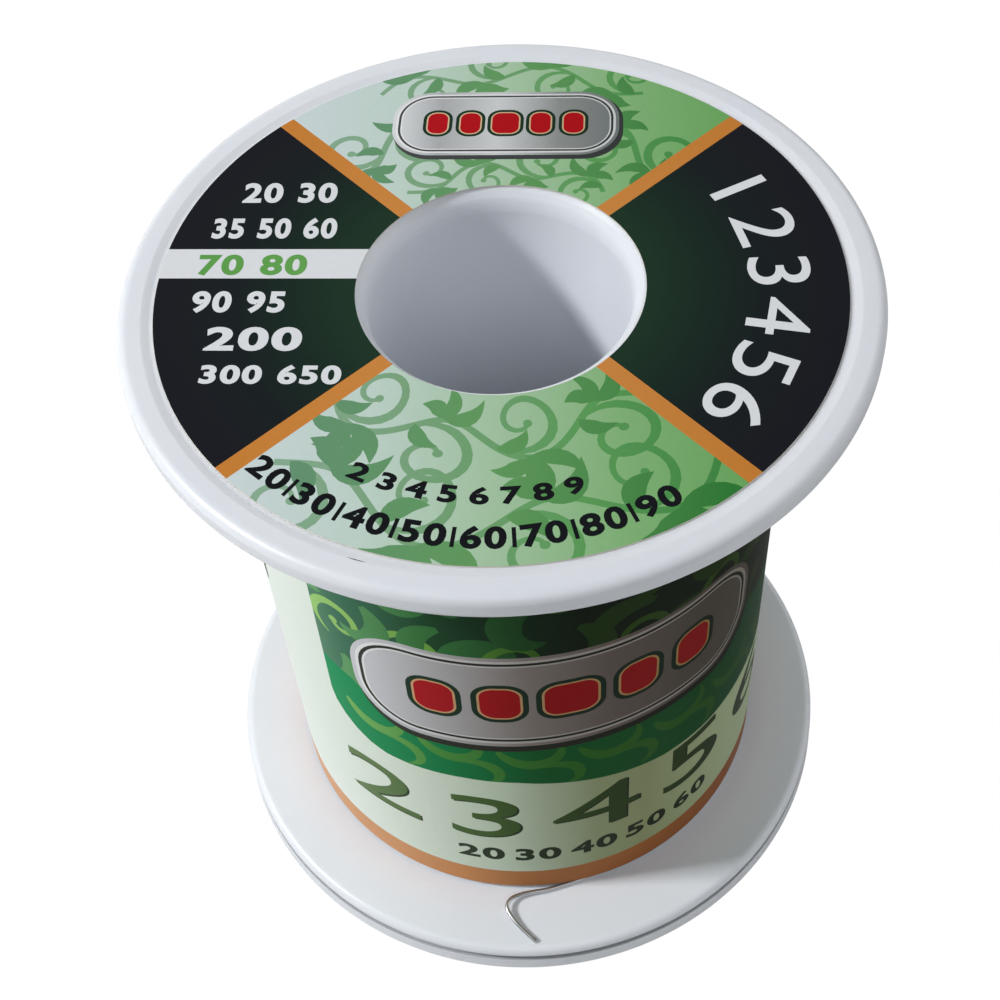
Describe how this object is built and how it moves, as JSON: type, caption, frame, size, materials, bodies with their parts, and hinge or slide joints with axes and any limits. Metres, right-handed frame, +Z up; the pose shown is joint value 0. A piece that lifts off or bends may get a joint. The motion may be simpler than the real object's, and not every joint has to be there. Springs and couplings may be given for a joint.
{
  "type": "solder wire spool",
  "caption": "Small two-flange plastic spool wound with fine solder wire, wrapped in a printed film, with printed discs on both flanges and a free wire end.",
  "frame": {"origin": "middle of the flat face that the spool stands on, at the bottom of the lower flange", "axes": "+Z up along the spool's axis; -Y towards the side where the free end of the wire comes out"},
  "size_m": [0.043, 0.043, 0.046],
  "materials": {
    "white_plastic": "smooth moulded white polystyrene, semi-gloss",
    "solder": "drawn tin-lead wire, bright",
    "printed_film": "printed and varnished label",
    "printed_disc": "printed and varnished label"
  },
  "bodies": {
    "root": {"lower_spool_half": "white_plastic", "upper_spool_half": "white_plastic", "solder_winding": "solder", "solder_tail": "solder", "wrap_label": "printed_film", "lower_disc_label": "printed_disc", "upper_disc_label": "printed_disc"}
  },
  "joints": []
}
